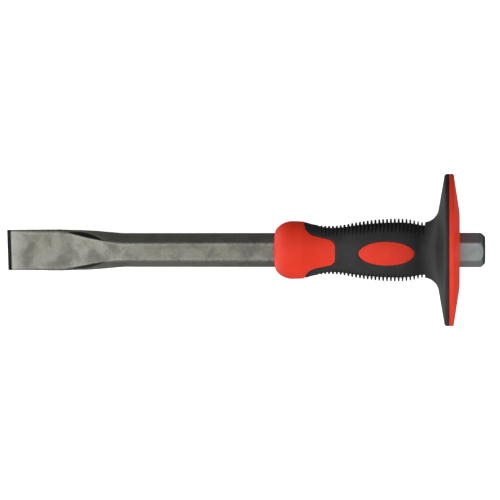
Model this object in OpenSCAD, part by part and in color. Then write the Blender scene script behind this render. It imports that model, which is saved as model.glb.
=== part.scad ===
// Guarded cold chisel: a forged hexagonal bar in a two-colour hand grip with a round guard.
// Frame: the origin is the centre of the striking face, +X points out of that face,
// Y runs across the blade's width and +Z out of the blade's flat.

/* [Overall] */
// Length from the cutting edge to the striking face
overall_l = 300; // [240:1:420]
// How far the struck head stands out behind the guard
head_stand = 15.6; // [8:0.1:40]
// Length of the grip, from the collar's front face to the back of the guard
grip_l = 113.7; // [94:0.1:150]
// Diameter of the guard
guard_d = 94; // [74:1:120]

/* [Bar] */
// Size of the hexagonal bar across its flats
bar_af = 19; // [15.5:0.1:23]
// Radius of the bar's long corners
bar_corner_r = 1.5; // [0.5:0.1:3]
// Diameter of the flat striking face
face_d = 16; // [10:0.5:18]
// Length of the chamfer round the striking face
head_chamfer_l = 3.4; // [1:0.1:6]

/* [Blade] */
// Width of the blade at the cutting edge
edge_w = 25.6; // [20:0.1:34]
// Width of the blade where it is broadest
blade_w = 26.2; // [20:0.1:34]
// Distance from the cutting edge to the start of the forged taper
taper_l = 77; // [60:1:95]
// Distance from the cutting edge to the root of the blade, where it is broadest
blade_l = 38; // [20:1:50]
// Thickness at the root of the blade
blade_t = 6.8; // [5:0.1:10]
// Thickness just behind the ground bevel
tip_t = 3; // [2:0.1:4.5]
// Angle between the two ground bevels
edge_angle = 70; // [50:1:90]
// Width of the flat left on the cutting edge
edge_land = 0.2; // [0.1:0.05:0.5]

/* [Core] */
// Wall of the core's sleeve over the bar's corners
sleeve_wall = 1.7; // [1.2:0.1:3]
// Gap all round between the bar and its hexagonal bore; 0 is a press fit
bore_clear = 0; // [0:0.01:0.3]
// Length of the collar's full ring
ring_l = 17.8; // [12:0.1:24]
// Thickness of the collar over the sleeve
collar_pad = 5.6; // [4:0.1:9]
// Thickness of the collar over the sleeve at its back edge
ring_pad = 5.25; // [3.5:0.1:8.5]
// Height of the collar's front face over the sleeve
lip_pad = 0.2; // [0.1:0.05:1]
// Radius of the collar's front shoulder
shoulder_r = 12.4; // [8:0.1:16]
// How far each tongue reaches back from the ring
tongue_l = 20; // [12:0.1:26]
// Width of a tongue at its nose
tongue_w = 14.6; // [10:0.1:18]
// Angle between a tongue's side and the tool's axis
tongue_taper = 12.9; // [0:0.1:20]
// Radius of the corners of a tongue's nose
nose_r = 5; // [2:0.1:5]
// Radius of the hollow between a tongue and the ring
root_r = 10; // [4:0.1:12]
// Length of each oval inlay
oval_l = 34; // [20:0.1:40]
// Width of each oval inlay
oval_w = 14.6; // [8:0.1:18]
// Distance from the front of the backing to the middle of the oval inlays
oval_from_guard = 38.1; // [32:0.1:42]

/* [Soft grip] */
// Thickness of the soft grip over the sleeve at the waist
waist_pad = 2.6; // [2.2:0.1:5]
// Thickness of the soft grip over the sleeve at the belly
belly_pad = 7.05; // [4.5:0.1:10]
// Thickness of the soft grip over the sleeve at the neck, ahead of the guard
neck_pad = 4.7; // [3.5:0.1:8]
// Distance from the collar's ring back to the waist
waist_from_ring = 14; // [10:0.1:18]
// Length of the narrow stretch at the waist
waist_l = 2.5; // [0:0.1:6]
// Distance from the belly back to the neck
belly_from_neck = 15; // [8:0.1:18]
// Share of the slope from belly to waist that curves with the belly
belly_share = 0.76; // [0.5:0.01:0.9]
// Radius of the hollow between the neck and the guard
flare_r = 9.5; // [6:0.1:14]

/* [Ribs] */
// Distance from one rib to the next
rib_pitch = 2.39; // [2:0.01:4]
// Width of the groove between two ribs
groove_w = 1.25; // [0.8:0.01:1.6]
// Depth of the grooves at the waist
groove_waist = 1.35; // [0.6:0.05:1.8]
// Depth of the grooves at the belly
groove_belly = 2.5; // [1:0.05:3.5]
// Angle from the middle of the smooth panel to the end of a groove
panel_angle = 40; // [34:1:60]
// Distance from the collar's ring to the first groove
rib_from_ring = 9.4; // [8:0.1:20]
// Distance from the front of the backing to the last groove
rib_from_guard = 15.6; // [13.5:0.1:24]
// Length over which the first grooves deepen
rib_fade_l = 8; // [2.4:0.1:16]

/* [Guard] */
// Thickness of the backing at the bar
backing_t = 6.3; // [5:0.1:10]
// Thickness of the soft half at the rim
rim_front_t = 2.9; // [2:0.1:5]
// Slope of the guard's front face
front_slope = 9.5; // [3:0.1:15]
// Slope of the guard's back face
back_slope = 8.6; // [3:0.1:9.8]
// Radius of the flat middle of the guard's back
hub_r = 23; // [15:0.1:30]
// Radius of the rim's front corner
rim_front_r = 1.8; // [0.5:0.1:2.5]
// Radius of the rim's back corner
rim_back_r = 1.1; // [0.5:0.1:2]

/* [Hidden] */

steel = [0.56, 0.57, 0.53];
red = [0.86, 0.23, 0.15];
black = [0.13, 0.13, 0.13];

arc_steps = 6;          // segments in a computed arc
ring_steps = 3;         // segments in the collar's slow curve
oval_steps = 48;        // segments in an oval
turn_fn = 96;           // facets of a turned part in a preview
cut_over = 1;           // how far a cutting shape passes the surface that it cuts
hex_half = 30;          // half the angle between two flats of a hexagon
spread_share = 0.62;     // share of the taper whose sides curve with the blade
neck_share = 0.8;       // share of the slope from belly to neck that curves with the belly

// The bar
corner_reach = bar_af / (2 * cos(hex_half));                            // sharp corner of the hexagon
corner_cut = bar_corner_r * (1 / cos(hex_half) - 1);                    // what the corner radius takes off
bar_r = corner_reach - corner_cut;                                      // rounded corner of the hexagon
edge_x = -overall_l;
taper_x = edge_x + taper_l;
blade_x = edge_x + blade_l;
bevel_l = (tip_t - edge_land) / 2 / tan(edge_angle / 2);

// The grip, along the tool
back_x = -head_stand;
part_x = back_x - backing_t;
front_x = back_x - grip_l;
ring_x = front_x + ring_l;
waist_x0 = ring_x + waist_from_ring;
waist_x1 = waist_x0 + waist_l;

// The grip, outwards
sleeve_r = bar_r + bore_clear + sleeve_wall;
collar_r = sleeve_r + collar_pad;
ring_r = sleeve_r + ring_pad;
lip_r = sleeve_r + lip_pad;
waist_r = sleeve_r + waist_pad;
belly_r = sleeve_r + belly_pad;
neck_r = sleeve_r + neck_pad;
guard_r = guard_d / 2;

// Where the line with point p and heading a crosses the line with point q and heading b
function meet(p, a, q, b) =
    let (u = [cos(a), sin(a)], v = [cos(b), sin(b)])
    p + u * cross(q - p, v) / cross(u, v);

function left_of(a) = [-sin(a), cos(a)];

// An arc of radius |r| that leaves line (p, a) and joins line (q, b).
// It turns left where r is positive and right where r is negative.
function fillet(p, a, q, b, r) =
    let (c = meet(p + r * left_of(a), a, q + r * left_of(b), b))
    [for (i = [0 : arc_steps]) c - r * left_of(a + (b - a) * i / arc_steps)];

// Two arcs from p to q that start and end level; share is the first arc's part of the way
function s_curve(p, q, share) =
    let (d = q - p)
    abs(d.y) < 0.001 ? [p, q] :
    let (s = sign(d.y), both = (d.x * d.x + d.y * d.y) / (2 * abs(d.y)), turn = asin(d.x / both))
    concat(
        [for (i = [0 : arc_steps])
            let (a = turn * i / arc_steps) p + share * both * [sin(a), s * (1 - cos(a))]],
        [for (i = [arc_steps - 1 : -1 : 0])
            let (a = turn * i / arc_steps) q - (1 - share) * both * [sin(a), s * (1 - cos(a))]]);

// The guard's two faces, as a point and a heading
rim_front = [part_x - rim_front_t, guard_r];
front_heading = 90 - front_slope;
hub_edge = [back_x, hub_r];
back_heading = back_slope - 90;

// Outer line of the grip from the collar to the guard's parting plane, as [x, radius]
flare = fillet([0, neck_r], 0, rim_front, front_heading, flare_r);
neck_x = flare[0].x;
belly_x = neck_x - belly_from_neck;
shoulder_x = front_x + sqrt(pow(shoulder_r, 2) - pow(shoulder_r - collar_r + lip_r, 2));
shoulder_turn = acos((shoulder_r - collar_r + lip_r) / shoulder_r);
ring_slope_r = pow(ring_x - shoulder_x, 2) / (2 * (collar_pad - ring_pad));
waist_rise_r = (pow(waist_from_ring, 2) + pow(ring_r - waist_r, 2)) / (2 * (ring_r - waist_r));
waist_turn = asin(waist_from_ring / waist_rise_r);

collar_line = [for (i = [arc_steps : -1 : 0])
    let (a = shoulder_turn * i / arc_steps)
    [shoulder_x, collar_r - shoulder_r] + shoulder_r * [-sin(a), cos(a)]];
ring_line = [for (i = [1 : ring_steps])
    let (x = (ring_x - shoulder_x) * i / ring_steps)
    [shoulder_x + x, collar_r - x * x / (2 * ring_slope_r)]];
front_waist = [for (i = [arc_steps - 1 : -1 : 0])
    let (a = waist_turn * i / arc_steps) [waist_x0, waist_r] + waist_rise_r * [-sin(a), 1 - cos(a)]];
belly_rise = s_curve([-belly_x, belly_r], [-waist_x1, waist_r], belly_share);
back_belly = s_curve([belly_x, belly_r], [neck_x, neck_r], neck_share);
rim_round = fillet(rim_front, front_heading, [0, guard_r], 0, -rim_front_r);
rear_waist = [for (i = [len(belly_rise) - 1 : -1 : 0]) [-belly_rise[i].x, belly_rise[i].y]];
grip_line = concat(collar_line, ring_line, front_waist, rear_waist,
    [for (i = [1 : len(back_belly) - 2]) back_belly[i]], flare, rim_round, [[part_x, guard_r]]);

// Radius of the grip's outer line at x
function grip_r(x) = lookup(x, [for (p = grip_line) [p.x, p.y]]);

// Solid of revolution about the tool's axis, from a line of [x, radius] points closed down to radius r
module turned(line, r = 0) {
    x0 = line[0].x;
    x1 = line[len(line) - 1].x;
    rotate([0, 90, 0])
        rotate_extrude($fn = turn_fn)
            polygon(concat([[r, x0]], [for (p = line) [p.y, p.x]], [[r, x1]]));
}

// Shape drawn across the tool (x is -Z, y is Y), run from x0 to x1 along the tool
module across(x0, x1) {
    translate([x0, 0, 0])
        rotate([0, 90, 0])
            linear_extrude(height = x1 - x0)
                children();
}

// Shape drawn in plan (x along the tool, y across it), run right through along Z
module through(h) {
    linear_extrude(height = h, center = true)
        children();
}

// Rounded hexagon with two flats facing Z, grown by gap on every side
module hexagon(gap = 0) {
    r = bar_corner_r + gap;
    c = (bar_af / 2 - bar_corner_r) / cos(hex_half);
    polygon([for (k = [0 : 5], i = [0 : 4])
        let (mid = 2 * hex_half * k + hex_half, a = mid + hex_half * (i / 2 - 1))
        c * [cos(mid), sin(mid)] + r * [cos(a), sin(a)]]);
}

// Plan of the blade with its half width times k, after adding more
module blade_plan(more, k) {
    side = concat(
        [[edge_x, edge_w / 2]],
        s_curve([blade_x, blade_w / 2], [taper_x, bar_r], spread_share));
    half = [for (p = side) [p.x, (p.y + more) * k]];
    polygon(concat(half, [for (i = [len(half) - 1 : -1 : 0]) [half[i].x, -half[i].y]]));
}

// The forged blade: flanks 60 degrees from the flats, as on the bar, and two flats that close to the edge
module blade() {
    intersection() {
        through(4 * bar_af) blade_plan(0, 1);
        rotate([hex_half, 0, 0]) through(4 * bar_af) blade_plan(corner_cut, cos(hex_half));
        rotate([-hex_half, 0, 0]) through(4 * bar_af) blade_plan(corner_cut, cos(hex_half));
        rotate([90, 0, 0]) through(2 * blade_w) polygon(concat(blade_side(1), blade_side(-1)));
    }
}

// Points of the blade's upper or lower outline seen from the side
function blade_side(s) =
    let (line = [[taper_x, bar_af / 2], [blade_x, blade_t / 2],
        [edge_x + bevel_l, tip_t / 2], [edge_x, edge_land / 2]])
    [for (i = [0 : len(line) - 1]) let (p = line[s > 0 ? i : len(line) - 1 - i]) [p.x, s * p.y]];

module chisel_bar() {
    color(steel) {
        blade();
        intersection() {
            across(taper_x, 0) hexagon();
            turned([[taper_x - cut_over, bar_af], [-2 * head_chamfer_l, bar_af],
                [-2 * head_chamfer_l, 2 * bar_r - face_d / 2], [0, face_d / 2]]);
        }
    }
}

// Plan of what shows of the core: the ring, its tongue and the oval
module core_plan() {
    w = 2 * collar_r;
    nose_x = ring_x + tongue_l;
    nose = [nose_x, tongue_w / 2];
    side = -tongue_taper;
    root = fillet([ring_x, 0], -90, nose, side, root_r);
    tip = fillet(nose, side, [nose_x, 0], -90, -nose_r);
    half = concat([[front_x - cut_over, w], [ring_x, w]], root, tip);
    polygon(concat(half, [for (i = [len(half) - 1 : -1 : 0]) [half[i].x, -half[i].y]]));
    oval_x = part_x - oval_from_guard;
    polygon([for (i = [1 : oval_steps])
        let (a = 360 * i / oval_steps) [oval_x + oval_l / 2 * cos(a), oval_w / 2 * sin(a)]]);
}

// Hard core: sleeve with its hexagonal bore, front collar with two tongues, and the oval inlays
module core_sleeve() {
    color(red)
        difference() {
            union() {
                intersection() {
                    turned(grip_line);
                    through(3 * collar_r) core_plan();
                }
                turned([[front_x + cut_over, sleeve_r], [part_x, sleeve_r]]);
            }
            across(front_x - cut_over, part_x + cut_over) hexagon(bore_clear);
        }
}

// The grooves of one side. A groove's floor is an arc that rises to the surface at panel_angle.
module grooves() {
    x0 = ring_x + rib_from_ring;
    x1 = part_x - rib_from_guard;
    n = floor((x1 - x0) / rib_pitch);
    for (i = [0 : n]) {
        x = x0 + (x1 - x0) * i / n;
        top = grip_r(x);
        share = (top - waist_r) / (belly_r - waist_r);
        fade = min(1, (x - x0 + rib_pitch) / rib_fade_l);
        low = top - fade * (groove_waist + (groove_belly - groove_waist) * share);
        run = top * sin(panel_angle);
        shift = (top * top - low * low) / (2 * (low - run));
        across(x - groove_w / 2, x + groove_w / 2)
            difference() {
                translate([-2 * top, 0]) square([4 * top, 2 * top]);
                translate([0, -shift]) circle(r = low + shift, $fn = turn_fn);
            }
    }
}

// Soft grip and the front half of the guard, moulded round the core
module grip_overmould() {
    color(black)
        difference() {
            turned(grip_line, sleeve_r);
            through(3 * collar_r) core_plan();
            grooves();
            mirror([0, 1, 0]) grooves();
        }
}

// Hard rear half of the guard
module guard_backing() {
    rim = fillet([0, guard_r], 0, hub_edge, back_heading, -rim_back_r);
    color(red)
        difference() {
            turned(concat([[part_x, guard_r]], rim, [hub_edge]));
            across(part_x - cut_over, back_x + cut_over) hexagon(bore_clear);
        }
}

chisel_bar();
core_sleeve();
grip_overmould();
guard_backing();
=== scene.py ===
"""Guarded cold chisel: the looks of the forged bar, its two-colour grip and its guard.

Laid out as a Blender add-on and run as a script. Every piece is a surface worked out with numpy:
x runs along the tool, and phi turns about it from +Z (the blade's flat) towards +Y (its width).
"""

import math

import bpy
import numpy as np
from bpy.props import FloatProperty, FloatVectorProperty, IntProperty, PointerProperty
from bpy.types import Operator, Panel, PropertyGroup
from mathutils import Matrix, Vector


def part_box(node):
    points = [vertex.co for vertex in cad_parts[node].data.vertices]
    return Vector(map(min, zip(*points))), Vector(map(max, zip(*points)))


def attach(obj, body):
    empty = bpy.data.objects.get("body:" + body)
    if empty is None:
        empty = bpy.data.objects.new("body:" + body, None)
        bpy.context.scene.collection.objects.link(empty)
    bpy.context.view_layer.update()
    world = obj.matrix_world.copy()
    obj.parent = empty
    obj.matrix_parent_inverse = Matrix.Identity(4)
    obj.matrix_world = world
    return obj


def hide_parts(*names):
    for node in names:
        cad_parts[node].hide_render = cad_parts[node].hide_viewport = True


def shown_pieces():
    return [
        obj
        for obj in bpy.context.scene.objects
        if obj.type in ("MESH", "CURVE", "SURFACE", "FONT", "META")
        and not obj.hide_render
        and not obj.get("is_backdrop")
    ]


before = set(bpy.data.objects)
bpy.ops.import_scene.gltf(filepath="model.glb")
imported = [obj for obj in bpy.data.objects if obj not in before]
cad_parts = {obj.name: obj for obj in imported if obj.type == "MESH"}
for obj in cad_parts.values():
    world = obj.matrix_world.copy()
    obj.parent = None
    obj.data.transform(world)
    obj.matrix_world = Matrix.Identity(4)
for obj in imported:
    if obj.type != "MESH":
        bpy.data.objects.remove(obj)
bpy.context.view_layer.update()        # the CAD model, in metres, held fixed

bl_info = {
    "name": "Guarded cold chisel",
    "version": (1, 0, 0),
    "blender": (4, 5, 0),
    "location": "View3D > Sidebar > Chisel",
    "description": "Builds a forged cold chisel with a moulded hand grip and guard",
    "category": "Add Mesh",
}

MM = 0.001

# Places and outer sizes, taken from the frame
BAR_LOW, BAR_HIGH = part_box("chisel_bar")
CORE_LOW, CORE_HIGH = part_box("core_sleeve")
BACK_LOW, BACK_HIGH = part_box("guard_backing")
EDGE_X = BAR_LOW.x               # cutting edge; the striking face is at x = 0
HALF_FLATS = BAR_HIGH.z          # half the hexagon's size across its flats
HALF_BLADE = BAR_HIGH.y          # half the blade's greatest width
FRONT_X = CORE_LOW.x             # front face of the collar
COLLAR_R = CORE_HIGH.y           # greatest radius of the collar
BELLY_R = CORE_HIGH.z            # greatest radius of the grip, which the ovals lie on
PART_X = BACK_LOW.x              # parting plane between soft and hard half of the guard
BACK_X = BACK_HIGH.x             # back of the guard
GUARD_R = BACK_HIGH.z            # radius of the guard

HEX_HALF = math.radians(30.0)    # half the angle between two flats of a hexagon
ARC_STEPS = 14                   # segments in a computed arc
SPREAD_POWER = 0.78              # below 1 keeps the taper broad for longer
FLAT_POWER = 1.55                # how late the flat widens along the taper
SHARPENING = 2.4                 # how fast the flat's edges sharpen as the taper starts
ROUNDING_FROM = 0.55             # share of the way to the square part where its edges turn round
CORNER_LIMIT = 0.8               # greatest corner radius as a share of half the thickness
SHARP_ANGLE = math.radians(50.0)  # faces that meet at more than this show a hard edge
HAIR = 0.02 * MM                 # how far a surface is drawn back from one it would lie in
BORE_GAP = 0.05 * MM             # gap between the bar and the visual model's bores
BED = 0.3 * MM                   # soft skin left over the sleeve under the tongues and ovals
INLAY_BASE = 0.5 * MM            # from the sleeve to an inlay's underside
SINK_REACH = 0.25 * MM           # run over which the soft grip sinks to its bed
LIP_DEPTH = 0.22 * MM            # how far the soft grip is rounded down along the hard parts
LIP_REACH = 0.7 * MM             # how far from them that rounding starts
NEAR_EDGE = 0.9 * MM             # how far an edge's rubbing reaches
GROUND_PAST = 0.8 * MM           # how far past the bevel the painted dark reflection ends
GROUND_FADE = 0.3 * MM           # run over which it ends
HIGHLIGHT_LINE_PAST = 1.2 * MM            # from the bevel to the painted highlight line behind it
HIGHLIGHT_LINE_REACH = 0.4 * MM           # how far that line reaches to each side
HOLLOW_OUTER = 0.8 * MM          # run over which a hollow fades on the flank
HOLLOW_INNER = 0.4 * MM          # run over which it fades at the flat's edge

# The rounded edge of a hard part, from its surface to its side wall, as shares of the bevel's
# width: how far from the outline, and how far down
ROUND_EDGE = ((0.75, 0.012), (0.5, 0.06), (0.25, 0.144), (0.08, 0.27), (0.0, 0.48))

# The two lamps: where each stands, and the side of its soft box
KEY_PLACE, KEY_SIZE = (-0.85, -0.25, 1.2), 0.8
BACK_PLACE, BACK_SIZE = (0.7, -0.3, 0.35), 0.6
BACKDROP = 1.1                   # brightness of the white behind everything
WHITE = (1.0, 1.0, 1.0, 1.0)


def length(name, description, millimetres):
    """A length property in metres with its default given in millimetres."""
    return FloatProperty(
        name=name, description=description, default=millimetres * MM,
        min=0.0, unit="LENGTH", precision=5)


def angle(name, description, degrees):
    """An angle property with its default given in degrees."""
    return FloatProperty(
        name=name, description=description, default=math.radians(degrees), unit="ROTATION")


def share(name, description, value):
    """A plain factor between 0 and 1."""
    return FloatProperty(
        name=name, description=description, default=value, min=0.0, max=1.0, subtype="FACTOR")


def number(name, description, value):
    """A plain number."""
    return FloatProperty(name=name, description=description, default=value, min=0.0)


def colour(name, description, value):
    """A linear colour."""
    return FloatVectorProperty(
        name=name, description=description, default=value, min=0.0, max=1.0,
        size=3, subtype="COLOR")


class BarSettings(PropertyGroup):
    corner_radius: length("Corner radius", "Radius of the bar's long corners", 1.5)
    taper_length: length("Taper", "From the cutting edge to the start of the forged taper", 77.0)
    blade_length: length("Blade", "From the cutting edge to the broadest place", 38.0)
    square_length: length("Square part", "Length of the blade whose sides are square", 34.0)
    blade_thickness: length("Blade thickness", "Thickness at the broadest place", 6.8)
    tip_thickness: length("Tip thickness", "Thickness just behind the ground bevel", 3.0)
    edge_width: length("Edge width", "Width of the blade at the cutting edge", 25.6)
    edge_land: length("Edge land", "Flat left on the cutting edge", 0.2)
    edge_angle: angle("Edge angle", "Angle between the two ground bevels", 70.0)
    blade_corner: length("Blade corner", "Radius of the blade's long edges", 2.4)
    taper_corner: length("Taper corner", "Radius of the flat's edges along the taper", 0.3)
    face_diameter: length("Face", "Diameter of the striking face", 16.0)
    chamfer_length: length("Chamfer", "Length of the chamfer round the striking face", 3.4)
    chamfer_bulge: share("Chamfer bulge", "How much the chamfer is rounded", 0.45)
    # The hollow is a shallow dip in each flank, also darkened with painted shade.
    hollow_width: length("Hollow width", "Width of the dark hollow beside the flat", 3.2)
    hollow_length: length("Hollow length", "Length of the dark hollow beside the flat", 28.0)
    hollow_depth: length("Hollow depth", "Depth of the dark hollow beside the flat", 0.4)
    rubbed_length: length("Rubbed length", "Length rubbed paler behind the cutting edge", 14.0)
    rubbed_head: length("Rubbed head", "Length rubbed paler ahead of the striking face", 13.0)
    dents: length("Dents", "Depth of the forging's unevenness", 0.09)
    light_steel: colour("Bright steel", "Steel where the blasting is even", (0.338, 0.342, 0.292))
    dark_steel: colour("Dark steel", "Steel where scale is left", (0.180, 0.176, 0.153))
    # Pale steel for rubbed edges and ends, also used for the painted highlight line behind the bevel.
    worn_and_highlight_steel: colour("Edge steel", "Steel rubbed bright along the edges", (0.50, 0.50, 0.47))
    green_steel: colour("Green steel", "Greenish patches of oil film", (0.32, 0.33, 0.245))
    warm_steel: colour("Warm steel", "Small warm spots", (0.31, 0.275, 0.215))
    pit_steel: colour("Pit steel", "Floor of the blasted pits", (0.16, 0.156, 0.142))
    head_steel: colour("Head steel", "Cooler steel at the struck head", (0.33, 0.43, 0.45))
    # Painted shade: near-black laid into the hollows beside the flat and onto the head's chamfer.
    painted_hollow_shade: colour("Scale", "Forging scale in the hollows", (0.02, 0.02, 0.02))
    # Painted dark reflection: near-black on the ground bevel and just past it, where the bevel mirrors
    # dark surroundings.
    painted_dark_reflection: colour("Ground edge", "Blackened ground bevel", (0.003, 0.003, 0.003))


class GripSettings(PropertyGroup):
    sleeve_wall: length("Sleeve wall", "Wall of the core's sleeve over the bar's corners", 1.7)
    ring_length: length("Ring", "Length of the collar's full ring", 17.8)
    ring_pad: length("Ring edge", "Collar over the sleeve at its back edge", 5.25)
    lip_pad: length("Lip", "Collar over the sleeve at its front face", 0.2)
    shoulder_radius: length("Shoulder", "Radius of the collar's front shoulder", 12.4)
    tongue_length: length("Tongue", "Reach of each tongue behind the ring", 20.0)
    tongue_width: length("Tongue width", "Width of a tongue at its nose", 14.6)
    tongue_taper: angle("Tongue taper", "Angle of a tongue's side to the axis", 12.9)
    nose_radius: length("Nose radius", "Radius of a tongue's corners", 5.0)
    root_radius: length("Root radius", "Radius between tongue and ring", 10.0)
    oval_length: length("Oval length", "Length of each oval inlay", 34.0)
    oval_width: length("Oval width", "Width of each oval inlay", 14.6)
    oval_from_guard: length("Oval place", "From the backing to the oval's middle", 38.1)
    bevel: length("Bevel", "Width of the rounded edge of the hard parts", 0.6)
    seam: length("Seam", "Width of the dark line between hard and soft parts", 0.16)
    waist_pad: length("Waist", "Soft grip over the sleeve at the waist", 2.6)
    neck_pad: length("Neck", "Soft grip over the sleeve ahead of the guard", 4.7)
    waist_from_ring: length("Waist place", "From the ring to the waist", 14.0)
    waist_length: length("Waist length", "Length of the narrow stretch", 2.5)
    belly_from_neck: length("Belly place", "From the belly to the neck", 15.0)
    belly_share: share("Belly share", "Share of the slope that curves with the belly", 0.76)
    neck_share: share("Neck share", "Share of the rear slope that curves with the belly", 0.8)
    flare_radius: length("Flare", "Radius of the hollow between neck and guard", 9.5)
    rib_pitch: length("Rib pitch", "From one rib to the next", 2.39)
    groove_floor: length("Groove floor", "Width of a groove at its floor", 1.15)
    groove_mouth: length("Groove mouth", "Width of a groove at the surface", 1.6)
    groove_waist: length("Groove at waist", "Depth of the grooves at the waist", 1.35)
    groove_belly: length("Groove at belly", "Depth of the grooves at the belly", 2.5)
    panel_angle: angle("Panel angle", "From the panel's middle to a groove's end", 40.0)
    rib_from_ring: length("First groove", "From the ring to the first groove", 9.4)
    rib_from_guard: length("Last groove", "From the backing to the last groove", 15.6)
    rib_fade: length("Rib fade", "Length over which the first grooves deepen", 8.0)
    red: colour("Red", "Hard moulded plastic", (0.800, 0.034, 0.010))
    # Painted highlight: paler red laid along the hard parts' rounded edges.
    painted_highlight_red: colour("Rubbed red", "Hard plastic rubbed along its edges", (0.80, 0.10, 0.06))
    black: colour("Black", "Soft moulded rubber", (0.016, 0.016, 0.016))


class GuardSettings(PropertyGroup):
    rim_front: length("Soft rim", "Thickness of the soft half at the rim", 2.9)
    front_slope: angle("Front slope", "Slope of the guard's front face", 9.5)
    back_slope: angle("Back slope", "Slope of the guard's back face", 8.6)
    hub_radius: length("Hub", "Radius of the flat middle of the back", 23.0)
    rim_front_radius: length("Rim front radius", "Radius of the rim's front corner", 1.8)
    rim_back_radius: length("Rim back radius", "Radius of the rim's back corner", 1.1)
    hub_rounding: length("Hub rounding", "Radius where the hub meets the slope", 12.0)
    dish: length("Dish", "How far the hub sinks towards the bar", 0.4)
    columns: IntProperty(name="Columns", description="Faces round the guard", default=180, min=36)


class StageSettings(PropertyGroup):
    view_yaw: angle("View yaw", "How far the camera stands towards the head", 6.4)
    view_roll: angle("View roll", "How far the camera stands towards +Y", 7.5)
    view_distance: length("Distance", "From the camera to its aim", 1115.0)
    view_from_edge: length("Aim", "From the cutting edge to the camera's aim", 154.45)
    view_width: length("View width", "Width that the camera takes in at its aim", 312.0)
    floor_size: length("Floor", "Size of the floor", 9000.0)
    key_power: number("Key", "Power of the key light", 1.2)
    back_power: number("Back", "Power of the light behind the guard", 5.0)
    ambient: number("Ambient", "Strength of the light all round", 0.92)
    dark_side: share("Dark side", "Share of the light that comes from +Y", 0.2)
    near_side: share("Near side", "Share of the light that comes from -Y", 0.65)
    dark_below: share("Dark below", "Share of the light that comes from below", 0.35)
    dark_behind: share("Dark behind", "Share of the light that comes from the head's side", 0.35)
    bright_ahead: number("Bright ahead", "Extra light from the blade's side", 1.6)


class ChiselSettings(PropertyGroup):
    bar: PointerProperty(type=BarSettings, name="Bar", description="The forged bar")
    grip: PointerProperty(type=GripSettings, name="Grip", description="Core and soft grip")
    guard: PointerProperty(type=GuardSettings, name="Guard", description="The hand guard")
    stage: PointerProperty(type=StageSettings, name="Stage", description="Camera and light")


# ---------------------------------------------------------------- curves in a plane


def smooth(t):
    """0 below 0, 1 above 1, and 3 t^2 - 2 t^3 between."""
    t = np.clip(t, 0.0, 1.0)
    return t * t * (3.0 - 2.0 * t)


def left_of(heading):
    """Unit vector to the left of a heading: (-sin h, cos h)."""
    return np.stack([-np.sin(heading), np.cos(heading)], axis=-1)


def meet(p, a, q, b):
    """Where the line with point p and heading a crosses the line with point q and heading b."""
    u = np.array([math.cos(a), math.sin(a)])
    v = np.array([math.cos(b), math.sin(b)])
    d = np.asarray(q) - np.asarray(p)
    return np.asarray(p) + u * (d[0] * v[1] - d[1] * v[0]) / (u[0] * v[1] - u[1] * v[0])


def fillet(p, a, q, b, r, steps=ARC_STEPS):
    """Arc that leaves line (p, a) and joins line (q, b): centre - r * left_of(heading).
    It turns left where r is positive and right where r is negative."""
    centre = meet(np.asarray(p) + r * left_of(a), a, np.asarray(q) + r * left_of(b), b)
    return centre - r * left_of(np.linspace(a, b, steps + 1))


def s_curve(p, q, part, steps=ARC_STEPS):
    """Two arcs from p to q, level at both ends. With run h and rise v their radii add up to
    (h^2 + v^2) / (2 |v|), and the first arc has the given part of it."""
    p, q = np.asarray(p), np.asarray(q)
    h, v = q - p
    both = (h * h + v * v) / (2.0 * abs(v))
    t = np.linspace(0.0, math.asin(h / both), steps + 1)
    arc = np.stack([np.sin(t), np.sign(v) * (1.0 - np.cos(t))], axis=-1)
    return np.concatenate([p + part * both * arc, (q - (1.0 - part) * both * arc)[-2::-1]])


def even(points, step):
    """The same polyline with a point about every step along it: linear in arc length."""
    run = np.concatenate([[0.0], np.cumsum(np.linalg.norm(np.diff(points, axis=0), axis=1))])
    at = np.linspace(0.0, run[-1], max(2, int(round(run[-1] / step)) + 1))
    return np.stack([np.interp(at, run, points[:, k]) for k in range(points.shape[1])], axis=-1)


# ---------------------------------------------------------------- grids and meshes


def around(x, r, phi):
    """Points at distance r from the axis: (x, r sin phi, r cos phi)."""
    x, r, phi = np.broadcast_arrays(x, r, phi)
    return np.stack([x, r * np.sin(phi), r * np.cos(phi)], axis=-1)


def table(rows, like):
    """Rows of a grid given as tuples of numbers or columns: one array for each place in the tuples,
    with a row for each tuple and as many columns as the given one."""
    return [np.array([np.broadcast_to(v, like.shape) for v in place]) for place in zip(*rows)]


def grid_normals(p, closed_rows):
    """Unit normals of a grid that is closed along its columns: the cross product of the steps
    along rows and columns, turned outwards from the tool's axis."""
    if closed_rows:
        along = np.roll(p, -1, axis=0) - np.roll(p, 1, axis=0)
    else:
        along = np.gradient(p, axis=0)
    across = np.roll(p, -1, axis=1) - np.roll(p, 1, axis=1)
    n = np.cross(along, across)
    n /= np.linalg.norm(n, axis=-1, keepdims=True) + 1e-12
    out = p.copy()
    out[..., 0] = 0.0
    return n * np.where((n * out).sum(-1, keepdims=True) < 0.0, -1.0, 1.0)


def grid_faces(rows, columns, closed_rows):
    """Quads of a grid of rows x columns whose columns wrap round, and whose rows may too."""
    i = np.arange(rows if closed_rows else rows - 1)[:, None]
    j = np.arange(columns)[None, :]
    i1, j1 = (i + 1) % rows, (j + 1) % columns
    corners = [i * columns + j, i * columns + j1, i1 * columns + j1, i1 * columns + j]
    return np.stack([np.broadcast_to(c, (i.size, j.size)) for c in corners], axis=-1).reshape(-1, 4)


def volume(p, quads, fans):
    """Signed volume inside a closed surface: the sum of v0 . (v1 x v2) / 6 over its triangles."""
    tris = np.concatenate([quads[:, [0, 1, 2]], quads[:, [0, 2, 3]], fans.reshape(-1, 3)])
    a, b, c = p[tris[:, 0]], p[tris[:, 1]], p[tris[:, 2]]
    return np.einsum("ij,ij->i", a, np.cross(b, c)).sum() / 6.0


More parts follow.
